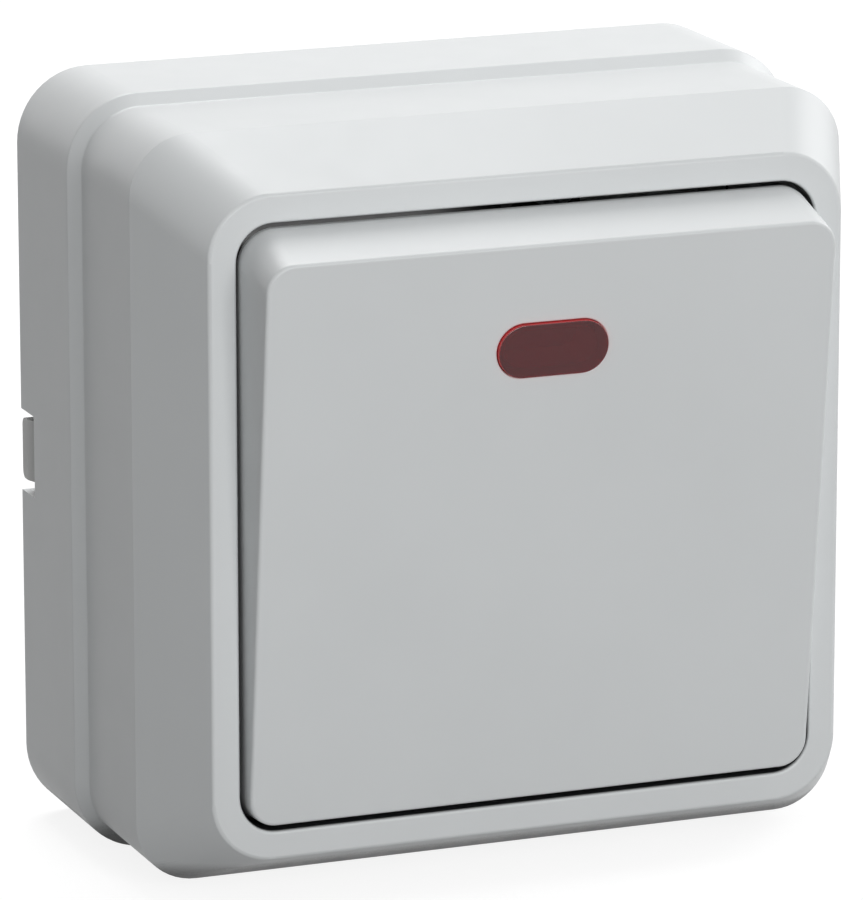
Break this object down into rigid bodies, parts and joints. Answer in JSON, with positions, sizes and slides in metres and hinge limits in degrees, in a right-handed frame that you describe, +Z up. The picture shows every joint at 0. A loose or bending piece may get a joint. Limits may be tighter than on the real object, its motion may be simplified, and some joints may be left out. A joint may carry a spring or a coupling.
{
  "type": "light switch",
  "caption": "Surface-mounted square light switch with a large tilting rocker key, a red indicator lens and a one-way contact mechanism inside.",
  "frame": {"origin": "middle of the base plate's wall face, between the two wall screws", "axes": "+Y into the wall, +Z up, +X to the right as seen from the room; the key faces -Y"},
  "size_m": [0.066, 0.0409, 0.066],
  "materials": {
    "white_abs": "semi-matt moulded ABS",
    "base_plastic": "matt moulded ABS",
    "red_lens": "clear red moulded polycarbonate",
    "lever_nylon": "natural moulded nylon",
    "plunger_acetal": "moulded acetal",
    "spring_steel": "drawn spring wire",
    "housing_thermoset": "pressed thermoset",
    "cover_polycarbonate": "moulded polycarbonate",
    "brass": "rolled and stamped brass",
    "silver_contact": "headed silver rivet",
    "zinc_steel": "zinc-plated steel",
    "lamp_glass": "clear drawn glass",
    "resistor_coat": "dipped lacquer",
    "tinned_copper": "tinned copper wire"
  },
  "bodies": {
    "housing": {"front_cover": "white_abs", "base_plate": "base_plastic", "mechanism_body": "housing_thermoset", "mechanism_cover": "cover_polycarbonate", "mechanism_screws": "zinc_steel", "line_strip": "brass", "load_strip": "brass", "fixed_contact": "silver_contact", "line_terminal": "brass", "load_terminal": "brass", "terminal_screws": "zinc_steel", "lamp_holder": "cover_polycarbonate", "neon_lamp": "lamp_glass", "lamp_resistor": "resistor_coat", "line_lead": "tinned_copper", "lamp_lead": "tinned_copper", "load_lead": "tinned_copper"},
    "rocker": {"rocker_key": "white_abs", "indicator_lens": "red_lens", "swing_lever": "lever_nylon", "plunger_spring": "spring_steel"},
    "plunger_pin": {"plunger": "plunger_acetal"},
    "contact_arm": {"contact_rocker": "brass", "moving_contact": "silver_contact"}
  },
  "joints": [
    {"name": "key_rock", "type": "hinge", "parent": "housing", "child": "rocker", "pos_m": [0, -0.03061, 0], "axis": [1, 0, 0], "range_deg": [-11.94, 0]},
    {"name": "contact_swing", "type": "hinge", "parent": "housing", "child": "contact_arm", "pos_m": [0, -0.017, 0], "axis": [1, 0, 0], "range_deg": [0, 16]},
    {"name": "plunger_slide", "type": "slide", "parent": "rocker", "child": "plunger_pin", "axis": [0, -0.9946, -0.104], "range_m": [0, 0.0008], "stiffness_N_per_m": 400, "springref_m": -0.002, "deforming": ["plunger_spring"]}
  ],
  "couplings": [
    {"joint": "contact_swing", "follows": "key_rock", "ratio": -1.34}
  ]
}
